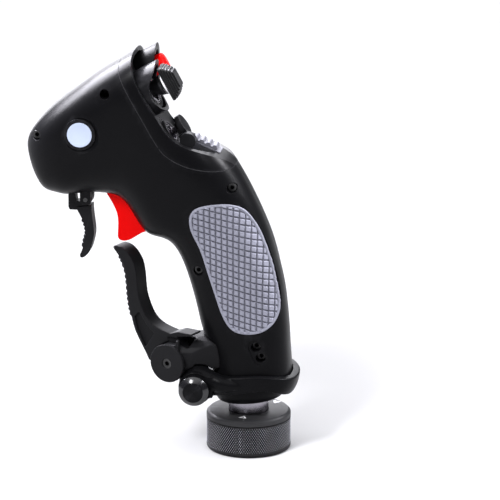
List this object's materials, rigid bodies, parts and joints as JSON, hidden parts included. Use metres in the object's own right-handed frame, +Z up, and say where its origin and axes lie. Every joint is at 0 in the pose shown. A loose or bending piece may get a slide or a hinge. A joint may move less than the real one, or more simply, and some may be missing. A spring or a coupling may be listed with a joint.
{
  "type": "flight joystick",
  "caption": "Flight joystick grip: a leaning pistol handle with textured pads, triggers, a brake lever, a hand rest and thumb controls on a quick-release ring nut.",
  "frame": {"origin": "on the ring nut's thread axis, at its bottom face", "axes": "+Z up along the thread axis, +X towards the pilot, -Y towards the pilot's left hand"},
  "size_m": [0.1445, 0.0616, 0.2162],
  "materials": {
    "black_plastic": "satin moulded",
    "lever_plastic": "semi-gloss moulded",
    "pad_rubber": "matt, pyramid texture",
    "red_plastic": "semi-gloss",
    "white_plastic": "semi-gloss",
    "pale_button": "satin",
    "grey_plastic": "satin",
    "dark_metal": "black anodised",
    "polished_metal": "polished",
    "screw_steel": "blackened",
    "contact_brass": "plated",
    "inner_plastic": "plain",
    "circuit_board": "solder mask",
    "wire_sheath": "sheathed"
  },
  "bodies": {
    "grip": {"neck_post": "polished_metal", "connector_body": "inner_plastic", "connector_pins": "contact_brass", "base_dome": "black_plastic", "clamp_lug": "black_plastic", "left_shell": "black_plastic", "right_shell": "black_plastic", "left_pad": "pad_rubber", "right_pad": "pad_rubber", "shell_screws": "screw_steel", "base_screws": "screw_steel", "thumb_panel": "black_plastic", "hat_shroud": "black_plastic", "hat_switch_body": "inner_plastic", "button_shroud": "black_plastic", "red_button_switch": "inner_plastic", "stick_base": "inner_plastic", "slider_track": "grey_plastic", "slider_switch": "inner_plastic", "side_button_bezel": "black_plastic", "side_button_switch": "inner_plastic", "trigger_pin": "polished_metal", "trigger_spring": "screw_steel", "trigger_switch": "inner_plastic", "flip_bracket": "lever_plastic", "flip_pin": "polished_metal", "flip_switch": "inner_plastic", "lever_bracket": "lever_plastic", "hinge_pin": "polished_metal", "hinge_caps": "lever_plastic", "hinge_screws": "screw_steel", "brake_spring": "screw_steel", "sensor_board": "circuit_board", "handle_board": "circuit_board", "head_board": "circuit_board", "wiring_loom": "wire_sheath"},
    "ring": {"ring_nut": "dark_metal"},
    "rest": {"hand_rest": "black_plastic", "clamp_nut": "dark_metal"},
    "knob": {"clamp_knob": "dark_metal", "clamp_bolt": "polished_metal"},
    "trigger": {"trigger": "red_plastic"},
    "flip": {"flip_trigger": "lever_plastic"},
    "lever": {"brake_lever": "lever_plastic", "lever_pad": "pad_rubber", "sensor_magnet": "screw_steel"},
    "side_button": {"side_button": "pale_button"},
    "red_button": {"red_button": "red_plastic"},
    "hat_ring": {"hat_gimbal_ring": "polished_metal"},
    "hat_stem": {"hat_stem": "lever_plastic"},
    "hat_cap": {"hat_cap": "lever_plastic", "hat_disc": "white_plastic"},
    "stick_ring": {"stick_gimbal_ring": "polished_metal"},
    "stick": {"stick_stem": "polished_metal", "stick_cap": "lever_plastic"},
    "slider": {"thumb_slider": "grey_plastic"}
  },
  "joints": [
    {"name": "ring_turn", "type": "hinge", "parent": "grip", "child": "ring", "pos_m": [0, 0, 0], "axis": [0, 0, 1], "continuous": true},
    {"name": "rest_tilt", "type": "hinge", "parent": "grip", "child": "rest", "pos_m": [-0.0253, 0, 0.0384], "axis": [0, 1, 0], "range_deg": [0, 6]},
    {"name": "knob_turn", "type": "hinge", "parent": "rest", "child": "knob", "pos_m": [-0.0253, 0, 0.0384], "axis": [0, -1, 0], "continuous": true},
    {"name": "trigger_pull", "type": "hinge", "parent": "grip", "child": "trigger", "pos_m": [-0.0635, 0, 0.1425], "axis": [0, -1, 0], "range_deg": [0, 8], "stiffness_Nm_per_rad": 0.4, "springref_deg": -11.46},
    {"name": "flip_turn", "type": "hinge", "parent": "grip", "child": "flip", "pos_m": [-0.0862, 0, 0.1343], "axis": [0, 1, 0], "range_deg": [-4, 60]},
    {"name": "brake_pull", "type": "hinge", "parent": "grip", "child": "lever", "pos_m": [-0.0363, -0.0113, 0.0507], "axis": [0.4067, 0.9135, 0], "range_deg": [0, 7], "stiffness_Nm_per_rad": 1.2, "springref_deg": -11.46},
    {"name": "side_button_press", "type": "slide", "parent": "grip", "child": "side_button", "axis": [0, 1, 0], "range_m": [0, 0.0015], "stiffness_N_per_m": 600, "springref_m": -0.001},
    {"name": "red_button_press", "type": "slide", "parent": "grip", "child": "red_button", "axis": [-0.8796, 0, -0.4756], "range_m": [0, 0.002], "stiffness_N_per_m": 500, "springref_m": -0.001},
    {"name": "hat_tilt_fore", "type": "hinge", "parent": "grip", "child": "hat_ring", "pos_m": [-0.05016, -0.0098, 0.19563], "axis": [0, 1, 0], "range_deg": [-4, 4], "stiffness_Nm_per_rad": 0.2},
    {"name": "hat_tilt_side", "type": "hinge", "parent": "hat_ring", "child": "hat_stem", "pos_m": [-0.05016, -0.0098, 0.19563], "axis": [-0.4756, 0, 0.8796], "range_deg": [-4, 4], "stiffness_Nm_per_rad": 0.2},
    {"name": "hat_push", "type": "slide", "parent": "hat_stem", "child": "hat_cap", "axis": [-0.8796, 0, -0.4756], "range_m": [0, 0.0008], "stiffness_N_per_m": 800, "springref_m": -0.0008},
    {"name": "stick_tilt_fore", "type": "hinge", "parent": "grip", "child": "stick_ring", "pos_m": [-0.04156, 0, 0.17053], "axis": [0, 1, 0], "range_deg": [-8, 8], "stiffness_Nm_per_rad": 0.05},
    {"name": "stick_tilt_side", "type": "hinge", "parent": "stick_ring", "child": "stick", "pos_m": [-0.04156, 0, 0.17053], "axis": [-0.5736, 0, 0.8192], "range_deg": [-8, 8], "stiffness_Nm_per_rad": 0.05},
    {"name": "slider_slide", "type": "slide", "parent": "grip", "child": "slider", "axis": [0.9239, 0, -0.3827], "range_m": [0, 0.002]}
  ]
}
